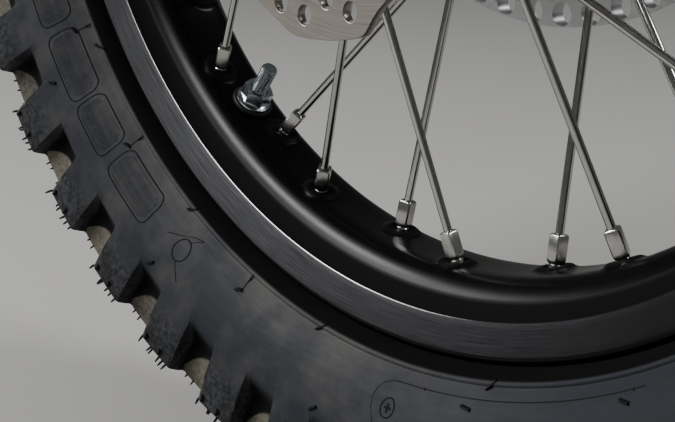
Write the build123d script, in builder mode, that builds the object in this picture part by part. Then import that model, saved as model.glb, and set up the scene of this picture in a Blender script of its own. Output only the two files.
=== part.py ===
from build123d import *
import math
import os

os.makedirs("parts", exist_ok=True)

# Rear wheel of an off-road motorcycle: +X forward, +Y to the sprocket side, +Z up,
# with its centre at the origin. Angles go from straight down towards +X, in degrees.

# Rim, 19 x 2.15
bead_radius = 242.3
bead_half_width = 27.3
flange_radius = bead_radius + 13.7
flange_wall = 4.2
flange_face_end = bead_radius - 1.7
seat_wall = 3.3
shoulder_half_width = 15.5
well_radius = bead_radius - 16.8
well_half_width = 8.5
rim_wall = 4.0

# Tyre, 110/90-19
crown_radius = 327.5
crown_drop = 11.5
crown_edge_radius = crown_radius - crown_drop
crown_half_width = 44.0
section_half_width = 55.5
section_share = 0.53
section_radius = flange_radius + section_share * (crown_radius - flange_radius)
lower_share = 0.28
lower_radius = flange_radius + lower_share * (crown_radius - flange_radius)
casing_wall = 9.0
sidewall = 7.0
bead_slope = 1.65
bead_rib_radius = flange_radius + 5.5
bead_rib_half_width = 36.5
bead_fit = 0.35
tread_repeats = 21
knob_angle = 4.4
knob_turn = -17.1
knob_root = 2.5
side_knob_top = crown_radius - 3.5
side_knob_half_width = 59.0
knob_slope = 0.43
centre_knob_top = crown_radius + 13.5
centre_knob_inner = 3.5
centre_knob_outer = 20.0
middle_knob_inner = 24.0
middle_knob_outer = 50.0

# Spokes and nipples
spoke_count = 32
spoke_turn = 1.4
spoke_radius = 1.8
spoke_offset = 5.2
disc_inside_lead = 74.3
disc_outside_lead = 90 - disc_inside_lead
sprocket_outside_lead = 38.4
sprocket_inside_lead = 45 - sprocket_outside_lead
spoke_bend = 3.0
spoke_head_radius = 3.4
spoke_head = 1.6
spoke_fit = 0.05
elbow_gap = 0.3
nipple_flats = 6.2
nipple_corner_radius = 4.0
nipple_chamfer = 0.7
nipple_length = 13.0
nipple_shank = 3.1
nipple_head_radius = 4.4
nipple_head = 2.0
nipple_head_seat = 6.0
nipple_fit = 0.1
boss_radius = 7.5
boss_height = 1.2

# Hub
disc_flange_y = -42.0
sprocket_flange_y = 36.0
spoke_flange_wall = 5.0
disc_hole_radius = 58.0
sprocket_hole_radius = 56.0
spoke_flange_edge = 5.0
barrel_radius = 23.0
barrel_end_radius = 29.0
hub_bore = 13.5

# Brake disc
disc_seat_y = -57.0
disc_wall = 4.0
disc_radius = 133.2
disc_valley_radius = disc_radius - 21.8
disc_waves = 6
disc_band = 35.0
disc_band_radius = disc_radius - disc_band
disc_bolts = 4
disc_bolt_radius = 47.0
disc_bolt_turn = 15.0
disc_arm = 17.0
disc_hole_radius_small = 4.0
disc_centre_radius = 37.0
disc_carrier_wall = 8.0

# Sprocket
sprocket_seat_y = 53.0
sprocket_wall = 7.0
teeth = 50
chain_pitch = 15.875
roller_radius = 5.2
sprocket_bolts = 6
sprocket_bolt_radius = 75.0
sprocket_centre_radius = 62.0
carrier_wall = 7.0
carrier_lobe = 11.0
carrier_window = 9.0
carrier_window_radius = 49.0

# Bearings, seals, collars and axle
bearing_radius = 23.5
bearing_wall = 12.0
bearing_disc_y = -34.0
bearing_sprocket_y = 34.0
seal_wall = 5.5
running_fit = 0.05
collar_radius = 16.0
collar_gap = 0.3
swingarm_inner_y = 76.0
swingarm_wall = 27.0
axle_radius = 12.5
axle_bore = 8.5
axle_head_flats = 32.0
axle_head = 9.0
axle_nut_flats = 32.0
axle_nut = 13.0
axle_end = 4.0
axle_washer = 3.0
axle_washer_radius = 21.0

# Bolts
m8_radius = 4.0
m8_head_radius = 7.0
m8_head = 6.0
m8_nut_flats = 13.0
m8_nut = 7.0
m6_radius = 3.0
m6_head_radius = 5.2
m6_head = 4.0
bolt_fit = 0.1
seat_fit = 0.02

# Rim lock and valve
rim_lock_turn = -37.775
rim_lock_reach = 24.0
rim_lock_tip_radius = well_radius - rim_lock_reach
lock_washer_radius = 10.0
lock_washer = 2.0
lock_nut_flats = 13.0
lock_nut = 6.5
lock_flange_radius = 8.6
lock_flange = 1.6
valve_turn = 142.225
valve_radius = 4.0
valve_reach = 33.5
valve_tip_radius = well_radius - valve_reach
valve_cap_radius = 4.8
valve_cap = 10.0
valve_nut_flats = 12.0
valve_nut = 3.0


def at(radius, angle, y):
    """The point at this radius and angle."""
    turn = math.radians(angle)
    return Vector(radius * math.sin(turn), y, -radius * math.cos(turn))


def on_face(radius, angle):
    """The same on a sketch that faces the disc's side."""
    point = at(radius, angle, 0)
    return (point.X, point.Z)


def turned(count, first=0.0):
    """Places around the axle, evenly spaced from the first angle."""
    return [Location((0, 0, 0), (0, -first - 360 / count * i, 0)) for i in range(count)]


disc_bolt_places = [on_face(disc_bolt_radius, disc_bolt_turn + 360 / disc_bolts * i) for i in range(disc_bolts)]

# Each family of spokes: the side of its flange, the way it leans and how far round, the
# angle of one of its nipples, and whether its elbow is outside the flange
pitch = 360 / spoke_count
families = [
    {"side": -1, "lean": -disc_inside_lead, "angle": spoke_turn, "outside": False},
    {"side": 1, "lean": sprocket_outside_lead, "angle": spoke_turn + pitch, "outside": True},
    {"side": -1, "lean": disc_outside_lead, "angle": spoke_turn + 2 * pitch, "outside": True},
    {"side": 1, "lean": -sprocket_inside_lead, "angle": spoke_turn + 3 * pitch, "outside": False},
]


def elbow_of(family):
    """The elbow of a family's first spoke."""
    side = family["side"]
    hole_radius = disc_hole_radius if side < 0 else sprocket_hole_radius
    face = disc_flange_y if side < 0 else sprocket_flange_y
    if family["outside"]:
        y = face + side * (spoke_bend + elbow_gap)
    else:
        y = face - side * (spoke_flange_wall + spoke_bend + elbow_gap)
    return at(hole_radius, family["angle"] + family["lean"], y)


def seat_of(family):
    """The plane where a family's first nipple leaves the rim, facing the hub."""
    seat = at(well_radius, family["angle"], family["side"] * spoke_offset)
    return Plane(origin=seat, z_dir=elbow_of(family) - seat)


# Rim
rim_outer = [
    (0, well_radius),
    (well_half_width, well_radius),
    (well_half_width + 2.5, well_radius + 2.0),
    (shoulder_half_width - 2.0, bead_radius - seat_wall - 6.5),
    (shoulder_half_width, bead_radius - seat_wall - 3.0),
    (shoulder_half_width + 3.0, bead_radius - seat_wall - 0.8),
    (bead_half_width - 3.0, bead_radius - seat_wall),
    (bead_half_width + 0.3, flange_face_end),
    (bead_half_width + flange_wall, flange_radius - 3.0),
    (bead_half_width + flange_wall - 0.5, flange_radius - 0.8),
    (bead_half_width + flange_wall - 1.6, flange_radius),
    (bead_half_width + flange_wall - 3.0, flange_radius - 0.4),
    (bead_half_width, flange_radius - 3.0),
    (bead_half_width, bead_radius),
    (shoulder_half_width - 2.5, bead_radius),
    (well_half_width + 0.5, well_radius + rim_wall),
    (0, well_radius + rim_wall),
]
nipple_seats = []
for family in families:
    seat = seat_of(family)
    for place in turned(spoke_count // 4):
        nipple_seats.append(Plane(place * seat.location))
with BuildPart() as rim:
    with BuildSketch(Plane.YZ):
        with BuildLine():
            Polyline(*rim_outer, close=True)
        make_face()
        mirror(about=Plane.YZ)
    revolve(axis=Axis.Y)
    with BuildSketch(*[seat.offset(-2.5) for seat in nipple_seats]):
        Circle(boss_radius)
    extrude(amount=2.5 + boss_height)
    with BuildSketch(*[seat.offset(boss_height + 3) for seat in nipple_seats]):
        Circle(nipple_shank + nipple_fit)
    extrude(amount=-14, mode=Mode.SUBTRACT)
    with BuildSketch(Plane(origin=at(well_radius - 6, rim_lock_turn, 0), z_dir=at(1, rim_lock_turn, 0)),
                     Plane(origin=at(well_radius - 6, valve_turn, 0), z_dir=at(1, valve_turn, 0))):
        Circle(m8_radius + bolt_fit)
    extrude(amount=20, mode=Mode.SUBTRACT)
rim.part.label = "rim"
export_step(rim.part, "parts/rim.step")

# Tyre. One repeat of its tread is lofted between flat sections through the axle, one at
# each end of each side knob, so that its faces are flat and few, and set round the wheel.
def knob_foot(across):
    """The radius at which a knob stands in the casing, this far from its middle."""
    if across < crown_half_width:
        surface = crown_radius - crown_drop * across / crown_half_width
    else:
        share = (across - crown_half_width) / (section_half_width - crown_half_width)
        surface = crown_edge_radius + share * (section_radius + 4.0 - crown_edge_radius)
    return surface - knob_root


def knob_top(across):
    """The radius of the side and middle knobs' tops, this far from the middle."""
    return side_knob_top + knob_slope * (side_knob_half_width - across)


# The cavity is as wide as the sidewalls leave it, and no wider than the slope inside the beads
bead_toe = shoulder_half_width + 2.0
cavity_half_width = min(section_half_width - sidewall, bead_toe + (section_radius - bead_radius) / bead_slope)
casing = [
    (0, crown_radius),
    (crown_half_width, crown_edge_radius),
    (section_half_width, section_radius + 4.0),
    (section_half_width - 5.0, lower_radius),
    (bead_rib_half_width, bead_rib_radius),
    (bead_half_width - 0.1, flange_radius + 0.3),
    (bead_half_width - 0.1, bead_radius + bead_fit),
    (bead_toe, bead_radius + bead_fit),
    (cavity_half_width, section_radius),
    (0, crown_radius - casing_wall),
]
side_knob = [
    (crown_half_width, crown_edge_radius),
    (crown_half_width, knob_top(crown_half_width)),
    (side_knob_half_width, side_knob_top),
    (section_half_width, section_radius + 4.0),
    (section_half_width - 5.5, section_radius),
]
centre_knob = [
    (centre_knob_inner, knob_foot(centre_knob_inner)),
    (centre_knob_inner, centre_knob_top),
    (centre_knob_outer, centre_knob_top - 1.5),
    (centre_knob_outer, knob_foot(centre_knob_outer)),
]
middle_knob = [
    (middle_knob_inner, knob_foot(middle_knob_inner)),
    (middle_knob_inner, knob_top(middle_knob_inner)),
    (middle_knob_outer, knob_top(middle_knob_outer)),
    (middle_knob_outer, knob_foot(middle_knob_outer)),
]
knob_pitch = 180 / tread_repeats
first_start = knob_turn - knob_angle / 2
first_end = first_start + knob_angle
second_start = first_start + knob_pitch
second_end = second_start + knob_angle
repeat_end = first_start + 2 * knob_pitch
# Each knob's section and the angles that it runs between. The middle knobs fill the places
# between the side knobs.
knobs = [
    (side_knob, first_start, first_end),
    (centre_knob, first_start, first_end),
    (middle_knob, first_end, second_start),
    (side_knob, second_start, second_end),
    (middle_knob, second_end, repeat_end),
]


def section(angle):
    """The plane through the axle at this angle, its x along the axle and its y outwards."""
    return Plane(origin=(0, 0, 0), x_dir=(0, 1, 0), z_dir=Vector(0, 1, 0).cross(at(1, angle, 0)))


with BuildPart() as tread_repeat:
    for angle in (first_start, first_end, second_start, second_end, repeat_end):
        with BuildSketch(section(angle)):
            with BuildLine():
                Polyline(*casing, close=True)
            make_face()
            mirror(about=Plane.YZ)
    loft(ruled=True)
    for outline, start, end in knobs:
        for side in (-1, 1):
            for angle in (start, end):
                with BuildSketch(section(angle)):
                    with BuildLine():
                        Polyline(*[(side * across, out) for across, out in outline], close=True)
                    make_face()
            loft(ruled=True)
with BuildPart() as tyre:
    with Locations(*turned(tread_repeats)):
        add(tread_repeat.part)
tyre.part.label = "tyre"
export_step(tyre.part, "parts/tyre.step")

# Spokes
laced = []
for family in families:
    side = family["side"]
    seat = seat_of(family)
    elbow = elbow_of(family)
    face = disc_flange_y if side < 0 else sprocket_flange_y
    if family["outside"]:
        head_y = face - side * spoke_flange_wall
    else:
        head_y = face
    head = Vector(elbow.X, head_y, elbow.Z)
    away = Vector(0, -side if family["outside"] else side, 0)
    with BuildPart() as spoke:
        with BuildLine() as route:
            FilletPolyline(head, elbow, seat.origin - seat.z_dir * 3.0, radius=spoke_bend)
        with BuildSketch(Plane(origin=route.line @ 0, z_dir=route.line % 0)):
            Circle(spoke_radius)
        sweep()
        with BuildSketch(Plane(origin=head, z_dir=away)):
            Circle(spoke_head_radius)
        extrude(amount=spoke_head, taper=15)
    laced.append(spoke.part)
with BuildPart() as disc_side_spokes:
    with Locations(*turned(spoke_count // 4)):
        add(laced[0])
        add(laced[2])
disc_side_spokes.part.label = "disc_side_spokes"
export_step(disc_side_spokes.part, "parts/disc_side_spokes.step")
with BuildPart() as sprocket_side_spokes:
    with Locations(*turned(spoke_count // 4)):
        add(laced[1])
        add(laced[3])
sprocket_side_spokes.part.label = "sprocket_side_spokes"
export_step(sprocket_side_spokes.part, "parts/sprocket_side_spokes.step")

# Nipples
with BuildPart() as spoke_nipples:
    with BuildSketch(*[seat.offset(boss_height) for seat in nipple_seats]):
        Rectangle(nipple_flats, nipple_flats)
        Circle(nipple_corner_radius, mode=Mode.INTERSECT)
    extrude(amount=nipple_length - nipple_chamfer)
    with BuildSketch(*[seat.offset(boss_height + nipple_length - nipple_chamfer) for seat in nipple_seats]):
        Rectangle(nipple_flats, nipple_flats)
        Circle(nipple_corner_radius, mode=Mode.INTERSECT)
    extrude(amount=nipple_chamfer, taper=40)
    with BuildSketch(*[seat.offset(boss_height) for seat in nipple_seats]):
        Circle(nipple_shank)
    extrude(amount=-nipple_head_seat - boss_height)
    with BuildSketch(*[seat.offset(-nipple_head_seat) for seat in nipple_seats]):
        Circle(nipple_head_radius)
    extrude(amount=-nipple_head)
    with BuildSketch(*[seat.offset(-3.0) for seat in nipple_seats]):
        Circle(spoke_radius + spoke_fit)
    extrude(amount=30, mode=Mode.SUBTRACT)
spoke_nipples.part.label = "spoke_nipples"
export_step(spoke_nipples.part, "parts/spoke_nipples.step")

# Hub
disc_flange_radius = disc_hole_radius + spoke_flange_edge
sprocket_flange_radius = sprocket_hole_radius + spoke_flange_edge
carrier_y = sprocket_seat_y - carrier_wall
disc_carrier_y = disc_seat_y + disc_carrier_wall
hub_section = [
    (disc_seat_y, hub_bore),
    (disc_seat_y, barrel_end_radius),
    (disc_flange_y - 2.0, barrel_end_radius),
    (disc_flange_y, barrel_end_radius + 2.0),
    (disc_flange_y, disc_flange_radius),
    (disc_flange_y + spoke_flange_wall, disc_flange_radius),
    (disc_flange_y + spoke_flange_wall, barrel_end_radius + 3.0),
    (disc_flange_y + spoke_flange_wall + 7.0, barrel_end_radius - 2.0),
    (-8.0, barrel_radius),
    (8.0, barrel_radius),
    (sprocket_flange_y - spoke_flange_wall - 7.0, barrel_end_radius - 2.0),
    (sprocket_flange_y - spoke_flange_wall, barrel_end_radius + 3.0),
    (sprocket_flange_y - spoke_flange_wall, sprocket_flange_radius),
    (sprocket_flange_y, sprocket_flange_radius),
    (sprocket_flange_y, barrel_end_radius + 4.0),
    (carrier_y, barrel_end_radius + 6.0),
    (sprocket_seat_y, barrel_end_radius + 6.0),
    (sprocket_seat_y, hub_bore),
]
with BuildPart() as hub:
    with BuildSketch(Plane.YZ):
        with BuildLine():
            Polyline(*hub_section, close=True)
        make_face()
    revolve(axis=Axis.Y)
    with BuildSketch(Plane.XZ.offset(-carrier_y)):
        Circle(sprocket_centre_radius)
        with PolarLocations(sprocket_bolt_radius, sprocket_bolts):
            Circle(carrier_lobe)
        for i in range(sprocket_bolts):
            with Locations(Location((0, 0, 0), (0, 0, 360 / sprocket_bolts * i))):
                with Locations((sprocket_bolt_radius / 2, 0)):
                    Rectangle(sprocket_bolt_radius, 2 * carrier_lobe)
        with PolarLocations(carrier_window_radius, sprocket_bolts, start_angle=180 / sprocket_bolts):
            Circle(carrier_window, mode=Mode.SUBTRACT)
        Circle(barrel_end_radius - 2, mode=Mode.SUBTRACT)
    extrude(amount=-carrier_wall)
    with BuildSketch(Plane.XZ.offset(-disc_seat_y)):
        Circle(disc_centre_radius)
        for place in disc_bolt_places:
            with BuildLine():
                Line((0, 0), place)
            trace(line_width=disc_arm)
        with Locations(*disc_bolt_places):
            Circle(disc_arm / 2)
        Circle(barrel_end_radius - 2, mode=Mode.SUBTRACT)
    extrude(amount=-disc_carrier_wall)
    with BuildSketch(Plane.XZ.offset(-disc_seat_y)):
        Circle(bearing_radius)
    extrude(amount=-(bearing_disc_y - disc_seat_y), mode=Mode.SUBTRACT)
    with BuildSketch(Plane.XZ.offset(-sprocket_seat_y)):
        Circle(bearing_radius)
    extrude(amount=sprocket_seat_y - bearing_sprocket_y, mode=Mode.SUBTRACT)
    with BuildSketch(Plane.XZ.offset(-sprocket_seat_y)):
        with PolarLocations(sprocket_bolt_radius, sprocket_bolts):
            Circle(m8_radius + bolt_fit)
    extrude(amount=carrier_wall, mode=Mode.SUBTRACT)
    with BuildSketch(Plane.XZ.offset(-disc_seat_y)):
        with Locations(*disc_bolt_places):
            Circle(m6_radius)
    extrude(amount=-disc_carrier_wall, mode=Mode.SUBTRACT)
    for family in families:
        elbow = elbow_of(family)
        flange_y = disc_flange_y if family["side"] < 0 else sprocket_flange_y
        holes = [place * Location((elbow.X, flange_y, elbow.Z)) for place in turned(spoke_count // 4)]
        with BuildSketch(*[Plane(origin=hole.position, z_dir=(0, -family["side"], 0)) for hole in holes]):
            Circle(spoke_radius + bolt_fit)
        extrude(amount=spoke_flange_wall, mode=Mode.SUBTRACT)
hub.part.label = "hub"
export_step(hub.part, "parts/hub.step")

# Bearings and seals
with BuildPart() as disc_side_bearing:
    with BuildSketch(Plane.XZ.offset(-bearing_disc_y)):
        Circle(bearing_radius)
        Circle(axle_radius + running_fit, mode=Mode.SUBTRACT)
    extrude(amount=bearing_wall)
disc_side_bearing.part.label = "disc_side_bearing"
export_step(disc_side_bearing.part, "parts/disc_side_bearing.step")
with BuildPart() as sprocket_side_bearing:
    with BuildSketch(Plane.XZ.offset(-bearing_sprocket_y)):
        Circle(bearing_radius)
        Circle(axle_radius + running_fit, mode=Mode.SUBTRACT)
    extrude(amount=-bearing_wall)
sprocket_side_bearing.part.label = "sprocket_side_bearing"
export_step(sprocket_side_bearing.part, "parts/sprocket_side_bearing.step")
with BuildPart() as disc_side_seal:
    with BuildSketch(Plane.XZ.offset(-bearing_disc_y + bearing_wall)):
        Circle(bearing_radius)
        Circle(collar_radius + running_fit, mode=Mode.SUBTRACT)
    extrude(amount=seal_wall)
disc_side_seal.part.label = "disc_side_seal"
export_step(disc_side_seal.part, "parts/disc_side_seal.step")
with BuildPart() as sprocket_side_seal:
    with BuildSketch(Plane.XZ.offset(-bearing_sprocket_y - bearing_wall)):
        Circle(bearing_radius)
        Circle(collar_radius + running_fit, mode=Mode.SUBTRACT)
    extrude(amount=-(sprocket_seat_y - bearing_sprocket_y - bearing_wall))
sprocket_side_seal.part.label = "sprocket_side_seal"
export_step(sprocket_side_seal.part, "parts/sprocket_side_seal.step")

# Brake disc. One wave of its edge: the angle and radius of each point, a long slope down
# from its corner, a step in, the valley and a ramp out; and the angle and radius of each hole.
wave = [
    (-14.6, disc_radius),
    (-10.2, disc_radius - 1.7),
    (-5.1, disc_radius - 3.8),
    (-0.5, disc_radius - 5.7),
    (3.1, disc_radius - 7.5),
    (4.5, disc_radius - 10.3),
    (5.9, disc_valley_radius + 7.8),
    (8.3, disc_valley_radius + 3.5),
    (10.4, disc_valley_radius + 0.9),
    (13.0, disc_valley_radius),
    (18.0, disc_valley_radius),
    (23.0, disc_valley_radius + 0.4),
    (27.0, disc_valley_radius + 2.0),
    (30.4, disc_valley_radius + 6.0),
    (32.8, disc_radius - 9.0),
    (34.6, disc_radius - 3.7),
    (40.0, disc_radius - 2.1),
]
wave_holes = [
    (-19.3, disc_radius - 9.7),
    (-12.5, disc_radius - 9.9),
    (-6.9, disc_radius - 19.4),
    (0.0, disc_radius - 16.5),
    (6.5, disc_radius - 26.0),
    (13.0, disc_radius - 29.0),
    (19.8, disc_radius - 28.0),
    (26.5, disc_radius - 29.0),
    (33.4, disc_radius - 24.0),
    (-14.5, disc_radius - 25.0),
    (-1.0, disc_radius - 28.0),
]
with BuildPart() as brake_disc:
    with BuildSketch(Plane.XZ.offset(-disc_seat_y)):
        with BuildLine():
            Polyline(*[on_face(radius, angle + 360 / disc_waves * i) for i in range(disc_waves)
                       for angle, radius in wave], close=True)
        make_face()
        Circle(disc_band_radius, mode=Mode.SUBTRACT)
        for i in range(disc_bolts):
            with BuildLine():
                Line(on_face(disc_bolt_radius, disc_bolt_turn + 360 / disc_bolts * i),
                     on_face(disc_band_radius + 3, disc_bolt_turn + 24 + 360 / disc_bolts * i))
            trace(line_width=disc_arm)
        with Locations(*disc_bolt_places):
            Circle(disc_arm * 0.6)
        Circle(disc_centre_radius + 8)
        Circle(disc_centre_radius, mode=Mode.SUBTRACT)
        with Locations(*disc_bolt_places):
            Circle(m6_radius + bolt_fit, mode=Mode.SUBTRACT)
        for i in range(disc_waves):
            with Locations(*[on_face(radius, angle + 360 / disc_waves * i) for angle, radius in wave_holes]):
                Circle(disc_hole_radius_small, mode=Mode.SUBTRACT)
    extrude(amount=disc_wall)
brake_disc.part.label = "brake_disc"
export_step(brake_disc.part, "parts/brake_disc.step")
with BuildPart() as brake_disc_bolts:
    with BuildSketch(Plane.XZ.offset(-disc_seat_y + disc_wall)):
        with Locations(*disc_bolt_places):
            Circle(m6_head_radius)
    extrude(amount=m6_head)
    with BuildSketch(Plane.XZ.offset(-disc_seat_y + disc_wall)):
        with Locations(*disc_bolt_places):
            Circle(m6_radius)
    extrude(amount=-disc_wall - disc_carrier_wall)
brake_disc_bolts.part.label = "brake_disc_bolts"
export_step(brake_disc_bolts.part, "parts/brake_disc_bolts.step")

# Sprocket
pitch_radius = chain_pitch / 2 / math.sin(math.pi / teeth)
tip_radius = pitch_radius + 5.6
with BuildPart() as sprocket:
    with BuildSketch(Plane.XZ.offset(-sprocket_seat_y)):
        Circle(tip_radius)
        with PolarLocations(pitch_radius, teeth):
            Circle(roller_radius, mode=Mode.SUBTRACT)
            with BuildLine():
                Polyline((0, -roller_radius), (0, roller_radius), (8, roller_radius + 2.2),
                         (8, -roller_radius - 2.2), close=True)
            make_face(mode=Mode.SUBTRACT)
        Circle(sprocket_centre_radius, mode=Mode.SUBTRACT)
        with PolarLocations(sprocket_bolt_radius, sprocket_bolts):
            Circle(m8_radius + bolt_fit, mode=Mode.SUBTRACT)
        with PolarLocations(sprocket_bolt_radius + 24, 12, start_angle=15):
            SlotOverall(24, 20, rotation=0, mode=Mode.SUBTRACT)
    extrude(amount=-sprocket_wall)
sprocket.part.label = "sprocket"
export_step(sprocket.part, "parts/sprocket.step")
with BuildPart() as sprocket_bolts_set:
    with BuildSketch(Plane.XZ.offset(-sprocket_seat_y - sprocket_wall)):
        with PolarLocations(sprocket_bolt_radius, sprocket_bolts):
            Circle(m8_head_radius)
    extrude(amount=-m8_head)
    with BuildSketch(Plane.XZ.offset(-sprocket_seat_y - sprocket_wall)):
        with PolarLocations(sprocket_bolt_radius, sprocket_bolts):
            Circle(m8_radius)
    extrude(amount=sprocket_wall + carrier_wall + m8_nut + 1.5)
sprocket_bolts_set.part.label = "sprocket_bolts"
export_step(sprocket_bolts_set.part, "parts/sprocket_bolts.step")
with BuildPart() as sprocket_nuts:
    with BuildSketch(Plane.XZ.offset(-carrier_y)):
        with PolarLocations(sprocket_bolt_radius, sprocket_bolts):
            RegularPolygon(m8_nut_flats / 2, 6, major_radius=False)
            Circle(m8_radius, mode=Mode.SUBTRACT)
    extrude(amount=m8_nut)
sprocket_nuts.part.label = "sprocket_nuts"
export_step(sprocket_nuts.part, "parts/sprocket_nuts.step")

# Axle, collars, washer and nut
swingarm_outer_y = swingarm_inner_y + swingarm_wall
axle_end_y = -swingarm_outer_y - axle_washer - axle_nut - axle_end
with BuildPart() as axle:
    with BuildSketch(Plane.XZ.offset(-axle_end_y)):
        Circle(axle_radius)
    extrude(amount=-(swingarm_outer_y - axle_end_y))
    with BuildSketch(Plane.XZ.offset(-swingarm_outer_y)):
        RegularPolygon(axle_head_flats / 2, 6, major_radius=False)
    extrude(amount=-axle_head)
    with BuildSketch(Plane.XZ.offset(-axle_end_y)):
        Circle(axle_bore)
    extrude(amount=-300, mode=Mode.SUBTRACT)
axle.part.label = "axle"
export_step(axle.part, "parts/axle.step")
with BuildPart() as axle_washer_part:
    with BuildSketch(Plane.XZ.offset(swingarm_outer_y)):
        Circle(axle_washer_radius)
        Circle(axle_radius + seat_fit, mode=Mode.SUBTRACT)
    extrude(amount=axle_washer)
axle_washer_part.part.label = "axle_washer"
export_step(axle_washer_part.part, "parts/axle_washer.step")
with BuildPart() as axle_nut_part:
    with BuildSketch(Plane.XZ.offset(swingarm_outer_y + axle_washer)):
        RegularPolygon(axle_nut_flats / 2, 6, major_radius=False)
        Circle(axle_radius + seat_fit, mode=Mode.SUBTRACT)
    extrude(amount=axle_nut)
axle_nut_part.part.label = "axle_nut"
export_step(axle_nut_part.part, "parts/axle_nut.step")
with BuildPart() as disc_side_collar:
    with BuildSketch(Plane.XZ.offset(-bearing_disc_y + bearing_wall + collar_gap)):
        Circle(collar_radius)
        Circle(axle_radius + seat_fit, mode=Mode.SUBTRACT)
    extrude(amount=swingarm_inner_y + bearing_disc_y - bearing_wall - collar_gap)
disc_side_collar.part.label = "disc_side_collar"
export_step(disc_side_collar.part, "parts/disc_side_collar.step")
with BuildPart() as sprocket_side_collar:
    with BuildSketch(Plane.XZ.offset(-bearing_sprocket_y - bearing_wall - collar_gap)):
        Circle(collar_radius)
        Circle(axle_radius + seat_fit, mode=Mode.SUBTRACT)
    extrude(amount=-(swingarm_inner_y - bearing_sprocket_y - bearing_wall - collar_gap))
sprocket_side_collar.part.label = "sprocket_side_collar"
export_step(sprocket_side_collar.part, "parts/sprocket_side_collar.step")

# Rim lock
lock_seat_radius = math.sqrt(well_radius**2 - lock_washer_radius**2) - seat_fit
lock_plane = Plane(origin=at(lock_seat_radius, rim_lock_turn, 0), z_dir=at(-1, rim_lock_turn, 0))
with BuildPart() as rim_lock_stud:
    with BuildSketch(lock_plane.offset(-rim_wall)):
        Circle(m8_radius)
    extrude(amount=rim_wall + lock_seat_radius - rim_lock_tip_radius)
rim_lock_stud.part.label = "rim_lock_stud"
export_step(rim_lock_stud.part, "parts/rim_lock_stud.step")
with BuildPart() as rim_lock_washer:
    with BuildSketch(lock_plane):
        Circle(lock_washer_radius)
        Circle(m8_radius, mode=Mode.SUBTRACT)
    extrude(amount=lock_washer)
rim_lock_washer.part.label = "rim_lock_washer"
export_step(rim_lock_washer.part, "parts/rim_lock_washer.step")
with BuildPart() as rim_lock_nut:
    with BuildSketch(lock_plane.offset(lock_washer)):
        Circle(lock_flange_radius)
        Circle(m8_radius, mode=Mode.SUBTRACT)
    extrude(amount=lock_flange)
    with BuildSketch(lock_plane.offset(lock_washer)):
        RegularPolygon(lock_nut_flats / 2, 6, major_radius=False)
        Circle(m8_radius, mode=Mode.SUBTRACT)
    extrude(amount=lock_nut + lock_flange)
rim_lock_nut.part.label = "rim_lock_nut"
export_step(rim_lock_nut.part, "parts/rim_lock_nut.step")

# Valve
valve_seat_radius = math.sqrt(well_radius**2 - (valve_nut_flats / math.sqrt(3))**2) - seat_fit
valve_plane = Plane(origin=at(valve_seat_radius, valve_turn, 0), z_dir=at(-1, valve_turn, 0))
valve_length = valve_seat_radius - valve_tip_radius
with BuildPart() as valve_stem:
    with BuildSketch(valve_plane.offset(-rim_wall)):
        Circle(valve_radius)
    extrude(amount=rim_wall + valve_length - valve_cap)
valve_stem.part.label = "valve_stem"
export_step(valve_stem.part, "parts/valve_stem.step")
with BuildPart() as valve_nut_part:
    with BuildSketch(valve_plane):
        RegularPolygon(valve_nut_flats / 2, 6, major_radius=False)
        Circle(valve_radius, mode=Mode.SUBTRACT)
    extrude(amount=valve_nut)
valve_nut_part.part.label = "valve_nut"
export_step(valve_nut_part.part, "parts/valve_nut.step")
with BuildPart() as valve_cap_part:
    with BuildSketch(valve_plane.offset(valve_length - valve_cap)):
        Circle(valve_cap_radius)
    extrude(amount=valve_cap)
valve_cap_part.part.label = "valve_cap"
export_step(valve_cap_part.part, "parts/valve_cap.step")
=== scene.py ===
import math
import random
import bmesh
import bpy
from mathutils import Matrix, Vector


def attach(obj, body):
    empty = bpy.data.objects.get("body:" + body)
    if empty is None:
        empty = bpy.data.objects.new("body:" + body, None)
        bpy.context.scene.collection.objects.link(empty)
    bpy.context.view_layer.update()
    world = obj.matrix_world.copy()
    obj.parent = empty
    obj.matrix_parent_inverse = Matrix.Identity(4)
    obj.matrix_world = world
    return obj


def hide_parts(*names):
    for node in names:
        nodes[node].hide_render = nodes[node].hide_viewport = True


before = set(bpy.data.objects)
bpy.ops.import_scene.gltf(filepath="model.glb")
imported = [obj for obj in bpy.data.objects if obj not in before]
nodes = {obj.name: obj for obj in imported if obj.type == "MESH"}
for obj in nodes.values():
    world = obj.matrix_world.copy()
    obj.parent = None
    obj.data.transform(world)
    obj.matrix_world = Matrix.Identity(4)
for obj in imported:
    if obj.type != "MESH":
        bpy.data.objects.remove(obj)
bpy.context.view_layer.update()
mm = 0.001


def limited(value):
    return min(1.0, max(0.0, value))


def smoothStep(low, high, value):
    share = limited((value - low) / (high - low))
    return share * share * (3 - 2 * share)


# Places on the wheel, with angles from straight down towards +X
def flatPoint(radius, angle):
    turn = math.radians(angle)
    return radius * math.sin(turn), -radius * math.cos(turn)


def onWheel(radius, angle, across):
    # from millimetres to a point in metres
    x, z = flatPoint(radius, angle)
    return Vector((x, across, z)) * mm


def addObject(name, data):
    made = bpy.data.objects.new(name, data)
    bpy.context.scene.collection.objects.link(made)
    return made


def smooth(mesh, sharpAngle):
    # smooth faces, with sharp edges where they turn by more than this
    mesh.shade_smooth()
    mesh.set_sharp_from_angle(angle=math.radians(sharpAngle))


def makeObject(name, points, faces, materials, faceSlots=None, sharpAngle=32):
    mesh = bpy.data.meshes.new(name)
    mesh.from_pydata([tuple(p) for p in points], [], faces)
    for material in materials:
        mesh.materials.append(material)
    if faceSlots:
        mesh.polygons.foreach_set("material_index", faceSlots)
    smooth(mesh, sharpAngle)
    mesh.update()
    return addObject(name, mesh)


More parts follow.
